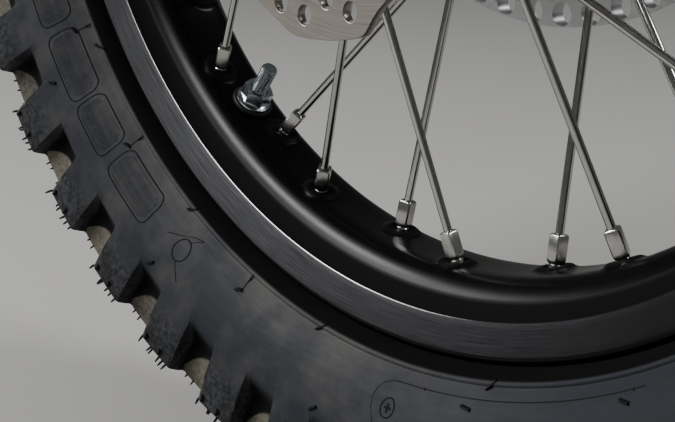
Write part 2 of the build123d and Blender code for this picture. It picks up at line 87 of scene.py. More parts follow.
def outwards(made):
    # turns every face's front to the outside
    build = bmesh.new()
    build.from_mesh(made.data)
    bmesh.ops.recalc_face_normals(build, faces=build.faces)
    build.to_mesh(made.data)
    build.free()
    return made


def ringFaces(first, rings, around, closed=False):
    # quads between rings of points that follow one another in the list
    faces = []
    for ring in range(rings if closed else rings - 1):
        low = first + ring * around
        high = first + (ring + 1) % rings * around
        for i in range(around):
            j = (i + 1) % around
            faces.append((low + i, low + j, high + j, high + i))
    return faces


def frameAt(direction, turn=0.0):
    # a rotation whose z is this direction, turned about it
    aimed = direction.to_track_quat("Z", "Y").to_matrix().to_4x4()
    return aimed @ Matrix.Rotation(math.radians(turn), 4, "Z")


def addRings(points, faces, place, turnIt, rings, closed=True, shift=0.0):
    # rings about a piece's own axis, each point as its radius and its distance along the axis
    first = len(points)
    around = len(rings[0])
    for ring in rings:
        for j, (radius, along) in enumerate(ring):
            turn = 2 * math.pi * (j + shift) / around
            reach = Vector((math.cos(turn) * radius, math.sin(turn) * radius, along))
            points.append(place + turnIt @ (reach * mm))
    faces += ringFaces(first, len(rings), around, closed)


def turnedRings(profile, around=48):
    # the rings of a turned section of radius and distance along
    return [[place] * around for place in profile]


def dress(made, body, replaced=None):
    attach(made, body)
    if replaced:
        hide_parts(replaced)
    return made


# Shader building: a wrapped value socket for the maths, and one method for any other node
class Value:
    def __init__(self, shader, socket):
        self.shader = shader
        self.socket = socket

    def __add__(self, other):
        return self.shader.maths("ADD", self, other)

    def __radd__(self, other):
        return self.shader.maths("ADD", other, self)

    def __sub__(self, other):
        return self.shader.maths("SUBTRACT", self, other)

    def __rsub__(self, other):
        return self.shader.maths("SUBTRACT", other, self)

    def __mul__(self, other):
        return self.shader.maths("MULTIPLY", self, other)

    def __rmul__(self, other):
        return self.shader.maths("MULTIPLY", other, self)

    def __truediv__(self, other):
        return self.shader.maths("DIVIDE", self, other)


class Shader:
    def __init__(self, name, colour, **looks):
        self.material = bpy.data.materials.new(name)
        self.material.use_nodes = True
        self.tree = self.material.node_tree
        self.surface = self.tree.nodes["Principled BSDF"]
        self.feed(Base_Color=(*colour, 1), **looks)

    def connect(self, target, value):
        # links a socket, or sets a number or colour
        if isinstance(value, Value):
            value = value.socket
        if isinstance(value, bpy.types.NodeSocket):
            self.tree.links.new(value, target)
        else:
            target.default_value = value

    def node(self, kind, settings=None, inputs=None):
        made = self.tree.nodes.new("ShaderNode" + kind)
        for key, value in (settings or {}).items():
            setattr(made, key, value)
        for key, value in (inputs or {}).items():
            self.connect(made.inputs[key], value)
        return made

    def maths(self, operation, *numbers):
        made = self.node("Math", {"operation": operation}, dict(enumerate(numbers)))
        return Value(self, made.outputs[0])

    def clamp(self, value):
        return self.maths("MINIMUM", self.maths("MAXIMUM", value, 0.0), 1.0)

    def place(self):
        # the point in millimetres, and its radius and angle about the axle
        where = self.node("TexCoord").outputs["Object"]
        parts = self.node("SeparateXYZ", inputs={0: where})
        x, y, z = [Value(self, parts.outputs[i]) * 1000 for i in range(3)]
        radius = self.maths("SQRT", x * x + z * z)
        angle = self.maths("ARCTAN2", x, 0 - z)
        return x, y, z, radius, angle

    def vector(self, x, y, z):
        return self.node("CombineXYZ", inputs={0: x, 1: y, 2: z}).outputs[0]

    def noise(self, scale, vector=None, detail=3.0, rough=0.55):
        if vector is None:
            vector = self.node("TexCoord").outputs["Object"]
        inputs = {"Vector": vector, "Scale": scale, "Detail": detail, "Roughness": rough}
        return Value(self, self.node("TexNoise", inputs=inputs).outputs["Fac"])

    def blendColours(self, share, first, second):
        first, second = [(*c, 1) if isinstance(c, tuple) else c for c in (first, second)]
        return self.node("Mix", {"data_type": "RGBA"}, {0: share, 6: first, 7: second}).outputs[2]

    def bump(self, height, distance, strength=1.0, after=None):
        inputs = {"Height": height, "Distance": distance, "Strength": strength}
        if after is not None:
            inputs["Normal"] = after
        return self.node("Bump", inputs=inputs).outputs[0]

    def feed(self, **links):
        for key, value in links.items():
            self.connect(self.surface.inputs[key.replace("_", " ")], value)
        return self.material


# The side knobs, for the tyre's rubber and its mesh
knobs = {
    "count": 42,
    "turn": -17.1,  # the angle of one knob's middle
}
knobPitch = 360 / knobs["count"]


# Finishes
def rubberFinish():
    rubber = {
        "sidewall": (0.035, 0.038, 0.047),
        "dustyAndLit": (0.112, 0.108, 0.102),
        "beadRubberAndShade": (0.005, 0.005, 0.006),
        "tread": (0.016, 0.018, 0.022),
        "treadPale": (0.074, 0.075, 0.079),
        "gapFaceDustAndLight": (0.210, 0.192, 0.158),
        "gapFaceDustAndLightDeep": (0.080, 0.077, 0.069),
        "hollowShade": (0.003, 0.003, 0.004),
        "beadRadius": 261.6,
        "dustAndLightRadius": 276.0,
        "treadRadius": 298.0,
        "sideWidth": 46.5,
    }
    s = Shader("tyreRubber", rubber["sidewall"], Roughness=0.6, Specular_IOR_Level=0.36)
    x, y, z, radius, angle = s.place()
    width = s.maths("ABSOLUTE", y)
    mottle = s.noise(1.0, s.vector(radius * 0.35, angle * 14, y * 0.35), 4.0, 0.6)
    grain = s.noise(2600.0, detail=2.0)
    cloud = s.noise(30.0, detail=5.0, rough=0.62)
    scuff = s.noise(420.0, detail=4.0, rough=0.7)

    # dust on the wall mixed with painted light, paler near the rim and towards negative angles where
    # the light falls, and the worn tread
    nearRim = s.clamp((rubber["dustAndLightRadius"] - radius) / 12.0)
    dustAndLight = s.clamp(nearRim * 0.55 + (cloud - 0.47) * 2.6) * s.clamp(0.8 - angle * 2.1)
    base = s.blendColours(dustAndLight, rubber["sidewall"], rubber["dustyAndLit"])
    onTread = s.clamp((radius - rubber["treadRadius"]) / 12.0)
    wear = s.clamp((scuff - 0.42) * 4.0 + (cloud - 0.5) * 1.2)
    worn = s.blendColours(wear, rubber["tread"], rubber["treadPale"])
    base = s.blendColours(onTread, base, worn)

    # painted shade in the hollow between two side knobs, and the face behind it, paler with dust and
    # painted light, by the angle on from the middle of the first knob
    steps = (angle * math.degrees(1) - knobs["turn"]) / knobPitch + 100
    t = s.maths("FRACT", steps) * knobPitch
    start = 289.0 + (t - 2.6) * 3.4
    inHollowShade = s.clamp((t - 2.12 - (325.0 - radius) * 0.012) * 5.0) * s.clamp((6.75 - t) * 2.6)
    inHollowShade = inHollowShade * s.clamp((radius - start) / 12.0)
    inHollowShade = inHollowShade * s.clamp((width - rubber["sideWidth"]) * 0.8)
    # the edge of the painted shadow on that face, past which it is paler with dust and painted light
    shadowEdge = s.maths("MINIMUM", t - 4.9, 0.0)
    shadowEdge = 309.8 + shadowEdge * shadowEdge * 1.9 + s.maths("MAXIMUM", t - 6.0, 0.0) * 3.0
    face = inHollowShade * s.clamp((radius - shadowEdge) * 0.8) * s.clamp((t - 2.3) * 4.0)
    blotch = s.clamp(0.35 + (cloud - 0.42) * 2.4 + (scuff - 0.5) * 2.6)
    base = s.blendColours(inHollowShade * 0.94, base, rubber["hollowShade"])
    dustedAndLit = s.blendColours(blotch, rubber["gapFaceDustAndLightDeep"], rubber["gapFaceDustAndLight"])
    base = s.blendColours(face, base, dustedAndLit)

    # darker rubber by the bead, deepened with painted shade beside the rim's flange
    onBead = s.clamp((rubber["beadRadius"] - radius) * 1.5)
    base = s.blendColours(onBead, base, rubber["beadRubberAndShade"])
    rough = 0.50 + mottle * 0.22 + (grain - 0.5) * 0.1 + onTread * (scuff - 0.5) * 0.2
    rough = rough + onBead * 0.4 + inHollowShade * 0.25
    normal = s.bump(mottle, 0.00035, 0.35)
    normal = s.bump(scuff * onTread, 0.0006, 0.7, normal)
    normal = s.bump(grain, 0.00006, 0.5, normal)
    normal = s.bump(s.maths("SINE", radius * 5.2), 0.00003, 0.25, normal)
    return s.feed(Base_Color=base, Roughness=rough, Normal=normal)


def hairAndLineShadeFinish():
    s = Shader("tyreHairsAndLineShade", (0.004, 0.004, 0.0045), Roughness=0.75)
    grain = s.noise(900.0)
    return s.feed(Roughness=0.65 + grain * 0.2)


def rimFinish():
    black = {
        "deep": (0.0035, 0.0035, 0.004),
        "pale": (0.006, 0.006, 0.0065),
        "wellRadius": 225.35,
        "coneRadius": 233.0,
        "coneEnd": 241.5,
    }
    s = Shader("rimBlack", black["pale"], Roughness=0.34, Specular_IOR_Level=0.26)
    grain = s.noise(1900.0, detail=2.0)
    cloud = s.noise(45.0)
    x, y, z, radius, angle = s.place()
    # smooth on the shoulder, duller on the cone beyond it and round the nipples
    onCone = s.clamp((radius - black["coneRadius"]) * 0.5) * s.clamp((black["coneEnd"] - radius) * 2.0)
    onBoss = s.clamp((black["wellRadius"] - radius) * 3.0)
    rough = 0.2 + cloud * 0.08 + grain * 0.04 + onCone * 0.55 + onBoss * 0.3
    tint = s.blendColours(cloud, black["deep"], black["pale"])
    return s.feed(Base_Color=tint, Roughness=rough, Normal=s.bump(grain, 0.00002, 0.3))


def flangeFinish():
    brushed = {
        "deep": (0.016, 0.016, 0.018),
        "pale": (0.185, 0.187, 0.198),
        "mostLitAngle": -0.62,
        "leastLit": 0.08,
    }
    s = Shader("rimFlangeBrushed", brushed["pale"], Metallic=0.6, Roughness=0.42)
    x, y, z, radius, angle = s.place()
    streaks = s.noise(1.0, s.vector(radius * 5.5, angle * 9, 0.0), 5.0, 0.7)
    patches = s.noise(1.0, s.vector(radius * 0.2, angle * 18, 0.0), 3.0)
    # painted light: the streaks are palest at one angle round the wheel and darker away from it, as the
    # light falls
    litTone = 1.5 - s.maths("ABSOLUTE", angle - brushed["mostLitAngle"]) * 1.25
    litTone = s.clamp((streaks - 0.32) * 2.1) * s.maths("MAXIMUM", litTone, brushed["leastLit"])
    tint = s.blendColours(s.clamp(litTone), brushed["deep"], brushed["pale"])
    rough = 0.34 + streaks * 0.2 + patches * 0.08
    return s.feed(Base_Color=tint, Roughness=rough, Normal=s.bump(streaks, 0.00004, 0.5))


def brightEdgeFinish():
    # worn bright between two angles round the wheel
    edge = {
        "black": (0.03, 0.03, 0.03),
        "worn": (0.36, 0.36, 0.355),
        "wornFrom": -1.9,
        "wornTo": 0.16,
    }
    s = Shader("rimEdgeBright", edge["worn"], Metallic=1.0, Roughness=0.35)
    grain = s.noise(700.0)
    x, y, z, radius, angle = s.place()
    worn = s.clamp((edge["wornTo"] - angle) * 3.0) * s.clamp((angle - edge["wornFrom"]) * 2.0)
    tint = s.blendColours(worn, edge["black"], edge["worn"])
    return s.feed(Base_Color=tint, Roughness=0.28 + grain * 0.16)


def metalFinish(name, colour, rough, grainSize=900.0, patchy=0.12, darker=0.75, metallic=1.0,
                depth=0.00002):
    s = Shader(name, colour, Metallic=metallic, Roughness=rough)
    grain = s.noise(grainSize)
    cloud = s.noise(70.0)
    dark = tuple(c * darker for c in colour)
    tint = s.blendColours(s.clamp((cloud - 0.35) * 2.0), dark, colour)
    rough = rough - patchy / 2 + cloud * patchy + grain * 0.05
    return s.feed(Base_Color=tint, Roughness=rough, Normal=s.bump(grain, depth, 0.4))


def turnedFinish(name, colour, rough, lineSize, depth=0.00003, darker=0.7):
    # rings left by a lathe or a grinder, about the axle
    s = Shader(name, colour, Metallic=1.0, Roughness=rough)
    x, y, z, radius, angle = s.place()
    rings = s.noise(1.0, s.vector(radius * lineSize, angle * 1.2, y * 0.05), 4.0, 0.75)
    broad = s.noise(1.0, s.vector(radius * 0.25, angle * 3.0, 0.0))
    dark = tuple(c * darker for c in colour)
    tint = s.blendColours(s.clamp((rings - 0.3) * 1.8), dark, colour)
    rough = rough - 0.06 + rings * 0.16 + broad * 0.06
    return s.feed(Base_Color=tint, Roughness=rough, Normal=s.bump(rings, depth, 0.6))


def plasticFinish(name, colour):
    s = Shader(name, colour, Roughness=0.5)
    grain = s.noise(1500.0)
    return s.feed(Roughness=0.42 + grain * 0.16, Normal=s.bump(grain, 0.00003, 0.5))


def plainFinish(name, colour, rough):
    s = Shader(name, colour, Roughness=rough)
    tint = s.blendColours(s.noise(3.0), tuple(c * 0.97 for c in colour), colour)
    return s.feed(Base_Color=tint)


finishes = {
    "tyre": rubberFinish(),
    "hairAndLineShade": hairAndLineShadeFinish(),
    "rim": rimFinish(),
    "flange": flangeFinish(),
    "brightEdge": brightEdgeFinish(),
    "spoke": metalFinish("spokeSteel", (0.62, 0.62, 0.59), 0.13, 1400.0, 0.06, 0.85),
    "nipple": metalFinish("nippleNickel", (0.70, 0.69, 0.66), 0.22, 1100.0, 0.14, 0.66, 1.0, 0.00005),
    "threadRootShade": metalFinish("threadRootShade", (0.06, 0.062, 0.065), 0.5),
    "zinc": metalFinish("zincPlate", (0.78, 0.83, 0.86), 0.2, 800.0, 0.12, 0.7),
    "bolt": metalFinish("boltSteel", (0.46, 0.46, 0.47), 0.36, 800.0, 0.14, 0.7),
    "disc": turnedFinish("discSteel", (0.66, 0.61, 0.57), 0.33, 1.5, 0.00003, 0.5),
    "sprocket": turnedFinish("sprocketAluminium", (0.62, 0.62, 0.63), 0.34, 1.6, 0.00002, 0.82),
    "hub": metalFinish("hubBlack", (0.022, 0.022, 0.024), 0.42, 500.0, 0.14, 0.7, 0.3, 0.00006),
    "bearing": turnedFinish("bearingSteel", (0.58, 0.58, 0.59), 0.25, 2.0),
    "seal": rubberFinish(),
    "washerDark": metalFinish("lockWasher", (0.03, 0.03, 0.031), 0.5, 700.0, 0.1, 0.8, 0.0),
    "brass": metalFinish("valveNickel", (0.62, 0.58, 0.50), 0.3, 900.0, 0.12, 0.8),
    "cap": plasticFinish("capPlastic", (0.015, 0.015, 0.016)),
    "axle": turnedFinish("axleSteel", (0.60, 0.60, 0.61), 0.24, 1.0, 0.00001, 0.9),
    "collar": turnedFinish("collarAluminium", (0.70, 0.70, 0.71), 0.3, 2.2, 0.00002, 0.85),
    "floor": plainFinish("paleFloor", (0.62, 0.61, 0.59), 0.85),
}
print("finishes made")


# Tyre. Rows of its section go from the rim outwards and over the tread, as distance from the
# middle and radius, in millimetres.
tyre = {
    # angle from a side knob's middle, the share of its own shape, the share of the shape
    # between knobs, and the first share again on the outer wall, where they run together
    "columns": [
        (0.0, 1.0, 0.0, 1.0), (1.95, 1.0, 0.0, 1.0), (2.11, 0.96, 0.0, 0.97), (2.20, 0.60, 0.0, 0.66),
        (2.27, 0.05, 0.0, 0.26), (2.42, 0.0, 0.05, 0.15), (2.54, 0.0, 0.95, 0.08),
        (2.75, 0.0, 1.0, 0.03), (3.40, 0.0, 1.0, 0.0),
    ],
    "sideWall": [
        (27.2, 243.4), (27.2, 254.6), (27.9, 256.5), (30.6, 257.2), (33.4, 258.3), (35.4, 259.8),
        (36.2, 261.0), (36.9, 261.4), (37.5, 262.1), (37.6, 262.9), (37.3, 263.5), (37.9, 264.3),
        (40.2, 266.5), (43.7, 270.3), (47.3, 275.4), (50.3, 281.0), (52.7, 287.0), (54.2, 291.8),
    ],
    # from here a row has a place in line with a side knob and one between two of them, where
    # the middle knobs are
    "wall": [
        ((55.1, 295.5), (54.6, 294.6)), ((55.9, 299.5), (53.4, 297.4)), ((57.0, 304.5), (51.6, 300.2)),
        ((57.9, 310.0), (49.9, 303.0)), ((58.7, 316.0), (48.7, 305.8)), ((59.1, 321.5), (48.4, 308.2)),
        ((59.15, 323.3), (49.3, 310.2)), ((58.7, 324.2), (49.9, 312.6)),
        ((57.6, 324.8), (50.05, 320.5)), ((54.0, 326.3), (50.0, 326.6)),
    ],
    # with the place of the groove between the two knobs as well
    "shared": [
        ((50.4, 327.8), (49.75, 327.7), (49.6, 309.5)), ((49.3, 328.3), (48.9, 328.3), (49.0, 312.0)),
        ((46.9, 329.3), (46.9, 329.2), (46.9, 315.6)), ((45.0, 330.0), (45.0, 330.0), (45.0, 316.4)),
        ((44.3, 329.8), (44.4, 330.3), (44.4, 316.7)), ((44.0, 328.2), (44.0, 330.45), (44.0, 316.8)),
        ((43.85, 319.5), (43.7, 330.6), (43.7, 316.9)), ((43.2, 317.3), (43.2, 330.8), (43.2, 317.1)),
    ],
    "middle": [
        ((41.5, 317.7), (41.5, 331.5)), ((34.0, 320.0), (34.0, 334.7)), ((27.0, 321.8), (27.0, 337.7)),
        ((24.9, 322.3), (24.9, 338.6)), ((24.2, 322.4), (24.2, 338.2)),
        ((23.95, 322.5), (23.95, 335.5)), ((23.8, 322.5), (23.7, 324.5)),
        ((23.2, 322.7), (23.2, 322.7)),
    ],
    "centre": [
        ((20.7, 323.3), (20.7, 323.3)), ((20.2, 324.8), (20.2, 323.5)), ((20.0, 334.5), (20.0, 323.6)),
        ((19.75, 338.6), (19.75, 323.6)), ((19.0, 339.3), (19.0, 323.8)),
        ((11.5, 340.2), (11.5, 325.5)), ((4.5, 340.8), (4.5, 326.8)), ((3.75, 340.2), (3.75, 326.9)),
        ((3.5, 337.0), (3.5, 327.0)), ((3.3, 328.6), (3.3, 327.0)), ((2.8, 327.2), (2.8, 327.1)),
    ],
    "crown": (0.0, 327.3),
    "inner": [(17.6, 243.2), (34.0, 266.0), (46.5, 283.0), (47.5, 294.5), (25.0, 309.0)],
    "innerCrown": (0.0, 316.5),
    "wallSpread": 0.16,  # how far a side knob widens down the wall, in degrees
    "wallTop": (54.9, 295.0),
}


def tyreRows():
    # each row's side, its place at a knob, between knobs and in the groove, and its kind
    half = [(p, p, p, "plain") for p in tyre["sideWall"]]
    half += [(knob, between, between, "wall") for knob, between in tyre["wall"]]
    half += [(knob, between, groove, "shared") for knob, between, groove in tyre["shared"]]
    half += [(knob, between, knob, "middle") for knob, between in tyre["middle"]]
    half += [(knob, between, between, "centre") for knob, between in tyre["centre"]]
    inner = [(p, p, p, "plain") for p in tyre["inner"]]
    crown, innerCrown = [(1, p, p, p, "plain") for p in (tyre["crown"], tyre["innerCrown"])]
    rows = [(-1, *row) for row in half] + [crown] + [(1, *row) for row in reversed(half)]
    rows += [(1, *row) for row in inner] + [innerCrown] + [(-1, *row) for row in reversed(inner)]
    return rows


def tyreColumns():
    # each column's knob, its angle from that knob's middle and its shares
    steps = [(-t, *rest) for t, *rest in reversed(tyre["columns"])] + tyre["columns"][1:]
    steps.append((knobPitch / 2, 0.0, 1.0, 0.0))
    return [(knob, *step) for knob in range(knobs["count"]) for step in steps]


def makeTyre():
    columns = tyreColumns()
    rows = tyreRows()
    points = []
    for knobNumber, step, atKnob, between, onWall in columns:
        reach = limited(abs(step) / 2.0) * (1 - smoothStep(2.5, 3.6, abs(step)))
        for side, knob, gap, groove, kind in rows:
            shares = (atKnob, between, 1 - atKnob - between)
            spread = 0.0
            if kind == "wall":
                shares = (onWall, 1 - onWall, 0.0)
                spread = tyre["wallSpread"] * limited((324.0 - knob[1]) / 28.0)
            elif kind == "centre" and knobNumber % 2:
                shares = (0.0, 1.0, 0.0)  # centre knobs stand beside every other side knob
            across, radius = [sum(share * place[i] for share, place in zip(shares, (knob, gap, groove)))
                              for i in (0, 1)]
            angle = knobs["turn"] + knobNumber * knobPitch + step + math.copysign(spread * reach, step)
            points.append(onWheel(radius, angle, side * across))
    faces = ringFaces(0, len(columns), len(rows), closed=True)
    return outwards(makeObject("tyreCasing", points, faces, [finishes["tyre"]], sharpAngle=40))


def wallAt(radius):
    # how far the sidewall stands from the middle at this radius
    wall = tyre["sideWall"][1:] + [tyre["wallTop"]]
    for (a0, r0), (a1, r1) in zip(wall, wall[1:]):
        if r0 <= radius <= r1:
            return a0 + (a1 - a0) * (radius - r0) / max(0.001, r1 - r0)
    return tyre["wallTop"][0]


def ridge(points, faces, path, side, width, height):
    # a low moulded line on the sidewall along a path of radius and angle
    first = len(points)
    foot = -0.25  # in millimetres under the wall
    for i, (radius, angle) in enumerate(path):
        before = path[max(0, i - 1)]
        after = path[min(len(path) - 1, i + 1)]
        along = Vector((math.radians(after[1] - before[1]) * radius, after[0] - before[0]))
        along = along.normalized() if along.length else Vector((1, 0))
        for offset, lift in ((-0.5, foot), (-0.25, height), (0.25, height), (0.5, foot)):
            r = radius + along.x * offset * width
            turn = angle - math.degrees(along.y * offset * width / radius)
            points.append(onWheel(r, turn, side * (wallAt(r) + lift)))
    last = first + (len(path) - 1) * 4
    for a in range(first, last, 4):
        faces += [(a + j, a + j + 1, a + j + 5, a + j + 4) for j in range(3)]
        faces.append((a + 3, a, a + 4, a + 7))
    faces.append((first + 3, first + 2, first + 1, first))
    faces.append((last, last + 1, last + 2, last + 3))


def arcPath(radius, start, end, step=0.6):
    count = max(2, int(abs(end - start) / step) + 1)
    return [(radius, start + (end - start) * i / (count - 1)) for i in range(count)]


def roundedBlock(low, high, start, end, corner=0.9):
    # the outline of a block on the sidewall, with rounded corners, as radius and angle
    path = []
    reach = corner * 4.8
    corners = [(high - reach, end - corner), (low + reach, end - corner), (low + reach, start + corner),
               (high - reach, start + corner)]
    for number, (radius, angle) in enumerate(corners):
        for k in range(5):
            turn = math.radians(90 * (number + k / 4))
            path.append((radius + reach * math.cos(turn), angle + corner * math.sin(turn)))
        if number == 0:
            path += [(high - (high - low) * k / 6, end) for k in range(2, 5)]
        elif number == 1:
            path += arcPath(low, end - corner * 1.4, start + corner * 1.4)
        elif number == 2:
            path += [(low + (high - low) * k / 6, start) for k in range(2, 5)]
    return path + arcPath(high, start + corner * 1.4, end - corner * 1.4) + path[:1]


# Ribbed blocks, thin mould lines, plugs and the marks of the mould's vents, as places of radius
# and angle, repeated round each wall. A block goes from one angle to the other.
mould = {
    "repeats": 3,
    "blocks": [(-65.4, -58.3), (-57.3, -49.7), (-49.2, -43.0), (-41.8, -34.2)],
    "blockLow": 268.4,
    "blockHigh": 283.8,
    "ribStep": 0.21,
    "corner": [
        (287.2, 1.3), (283.6, 0.6), (278.7, 0.0), (274.4, -0.16), (271.6, 0.0), (269.6, 0.4),
        (268.4, 1.06), (267.8, 1.9),
    ],
    "long": (267.8, 2.6, 29.0),  # its radius and its two ends' angles
    "plugs": [(275.8, -28.8, 4.9), (277.5, 1.9, 3.7)],
    "tails": [
        [(271.5, -28.6), (269.2, -28.1), (267.2, -27.5), (268.5, -28.6), (271.8, -29.9),
         (275.6, -31.5)],
        [(280.6, -28.6), (283.6, -27.9), (287.0, -27.0)],
    ],
    "legs": [-64.5, -56.6, -42.1, -20.3, 34.0, 44.5],
    "shorts": [-53.8, -31.4, -9.7, 12.2],
    "bars": [
        (270.3, 9.8, 271.3, 10.9), (270.0, 26.6, 271.9, 27.6), (291.2, -53.3, 287.6, -52.8),
        (292.6, -31.1, 289.3, -30.5), (291.0, -6.5, 288.6, -5.8), (289.5, 16.0, 291.0, 17.0),
    ],
    "dots": [(267.8, 5.06), (268.0, 27.9)],
    # each kind's width and height, in millimetres
    "sizes": {
        "outline": (0.62, 0.28), "rib": (0.42, 0.2), "corner": (0.42, 0.18), "circle": (0.6, 0.3),
        "cross": (1.1, 0.35), "dot": (0.9, 0.3), "tail": (0.42, 0.2), "leg": (0.55, 0.35),
        "foot": (1.0, 1.3), "short": (1.0, 0.9), "bar": (1.2, 1.1),
    },
}


def blockRibs(start, end):
    # ribs across a block, shorter towards its rounded ends
    low, high = mould["blockLow"], mould["blockHigh"]
    count = int((end - start - 1.0) / mould["ribStep"])
    ribs = []
    for i in range(count + 1):
        angle = start + 0.5 + (end - start - 1.0) * i / count
        fromEnd = min(i, count - i) / count * (end - start)
        trim = max(0.0, 2.4 - fromEnd * 3.2)
        foot, top = low + 1.2 + trim, high - 1.2 - trim
        ribs.append([(foot + (top - foot) * k / 4, angle) for k in range(5)])
    return ribs


def mouldLines():
    # every line of one repeat, as its kind and its path
    lines = []
    for start, end in mould["blocks"]:
        lines.append(("outline", roundedBlock(mould["blockLow"], mould["blockHigh"], start, end)))
        lines += [("rib", path) for path in blockRibs(start, end)]
    lines.append(("corner", mould["corner"] + arcPath(*mould["long"], 1.0)))
    for radius, angle, reach in mould["plugs"]:
        circle = []
        for k in range(25):
            turn = math.radians(15 * k)
            aside = math.degrees(reach * math.sin(turn) / radius)
            circle.append((radius + reach * math.cos(turn), angle + aside))
        lines.append(("circle", circle))
        if reach < 4:
            lines.append(("cross", [(radius - 1.7, angle), (radius + 1.7, angle)]))
            lines.append(("cross", [(radius, angle - 0.36), (radius, angle + 0.36)]))
    lines += [("dot", [(r - 0.4, a), (r + 0.4, a)]) for r, a in mould["dots"]]
    lines += [("tail", path) for path in mould["tails"]]
    for a in mould["legs"]:
        lines.append(("leg", [(262.4, a), (266.0, a), (269.2, a + 0.1)]))
        lines.append(("foot", [(269.0, a + 0.2), (269.6, a - 0.3), (270.3, a - 0.5)]))
    lines += [("short", [(260.9, a + 0.5), (262.8, a), (264.4, a - 0.5)]) for a in mould["shorts"]]
    for r0, a0, r1, a1 in mould["bars"]:
        lines.append(("bar", [(r0, a0), ((r0 + r1) / 2, (a0 + a1) / 2), (r1, a1)]))
    return lines


def makeMouldLines():
    points, faces, slots = [], [], []
    lines = mouldLines()
    for side in (-1, 1):
        for repeat in range(mould["repeats"]):
            turn = 360 / mould["repeats"] * repeat
            for kind, path in lines:
                before = len(faces)
                ridge(points, faces, [(r, a + turn) for r, a in path], side, *mould["sizes"][kind])
                # the ribs take the rubber; every other line takes the black hair finish, the vent
                # marks' own colour, which on the outlines and circles is painted shade beside the
                # raised line
                slots += [0 if kind == "rib" else 1] * (len(faces) - before)
    return makeObject("tyreMouldLines", points, faces, [finishes["tyre"], finishes["hairAndLineShade"]], slots)


# Stubs of rubber left by the mould's vents on the knobs' outer edges
hairs = {
    "places": [-2.12, -0.66, -0.34, 0.64, 1.12, 1.74],
    "gapPlaces": [3.0, 3.9, 5.4],
    "blobs": [-1.58, 0.53],
    "length": 5.2,
    "width": 0.62,
    "sides": 5,
}


def addHair(points, faces, root, tip, width, taper):
    turnIt = frameAt((tip - root).normalized())
    first, sides = len(points), hairs["sides"]
    for place, scale in ((root, 1.0), (root.lerp(tip, 0.6), 0.9), (tip, taper)):
        for j in range(sides):
            turn = 2 * math.pi * j / sides
            flat = Vector((math.cos(turn), math.sin(turn), 0)) * width * scale * mm
            points.append(place + turnIt @ flat)
    faces += ringFaces(first, 3, sides)
    faces.append(tuple(first + 2 * sides + j for j in range(sides)))
    faces.append(tuple(first + sides - 1 - j for j in range(sides)))


def makeVentHairs():
    random.seed(7)
    vary = random.uniform
    points, faces = [], []
    for knob in range(knobs["count"]):
        middle = knobs["turn"] + knob * knobPitch
        for side in (-1, 1):
            for place in hairs["places"]:
                angle = middle + place + vary(-0.12, 0.12)
                long = hairs["length"] * vary(0.6, 1.15)
                across = vary(57.8, 58.8)
                tipAngle = angle - long * vary(0.05, 0.1)
                tipAcross = across + vary(-0.3, 0.7)
                root = onWheel(323.2, angle, side * across)
                tip = onWheel(323.8 + long * 0.97, tipAngle, side * tipAcross)
                addHair(points, faces, root, tip, hairs["width"], 0.55)
            for place in hairs["gapPlaces"]:
                angle = middle + place + vary(-0.2, 0.2)
                long = hairs["length"] * vary(0.3, 0.6)
                root = onWheel(326.6, angle, side * 49.8)
                tip = onWheel(327.4 + long, angle - 0.2, side * 50.2)
                addHair(points, faces, root, tip, hairs["width"] * 0.8, 0.6)
            for place in hairs["blobs"]:
                angle = middle + place + vary(-0.1, 0.1)
                root = onWheel(319.2, angle + 0.04, side * 59.2)
                tip = onWheel(322.0, angle - 0.05, side * 59.6)
                addHair(points, faces, root, tip, 1.05, 0.9)
    return makeObject("tyreVentHairs", points, faces, [finishes["hairAndLineShade"]])


tyreCasing = dress(makeTyre(), "wheel", "tyre")
dress(makeMouldLines(), "wheel")
dress(makeVentHairs(), "wheel")
print("tyre made:", len(tyreCasing.data.polygons), "faces")


# Lacing, shared by the rim and the nipples, with the disc's side as -1 and the sprocket's as 1
spokes = {
    "count": 32,
    "turn": 1.4,
    "offset": 5.2,
    "bend": 3.3,
    "flange": {-1: -42.0, 1: 36.0},
    "flangeWall": 5.0,
    "holeRadius": {-1: 58.0, 1: 56.0},
    # side of the hub's flange, lean, first place and whether the elbow is outside the flange
    "families": [(-1, -74.3, 0, False), (1, 38.4, 1, True), (-1, 15.7, 2, True), (1, -6.6, 3, False)],
}
spokePitch = 360 / spokes["count"]


def nippleSeats(seatRadius):
    # where each nipple leaves the rim and the way that it points, in order round the wheel
    seats = []
    families = spokes["families"]
    for side, lean, step, outside in families:
        past = spokes["bend"] if outside else -spokes["flangeWall"] - spokes["bend"]
        across = spokes["flange"][side] + side * past
        for i in range(spokes["count"] // len(families)):
            angle = spokes["turn"] + spokePitch * (step + i * len(families))
            seat = onWheel(seatRadius, angle, side * spokes["offset"])
            elbow = onWheel(spokes["holeRadius"][side], angle + lean, across)
            seats.append((angle, seat, (elbow - seat).normalized()))
    return [(seat, axis) for angle, seat, axis in sorted(seats, key=lambda item: item[0])]


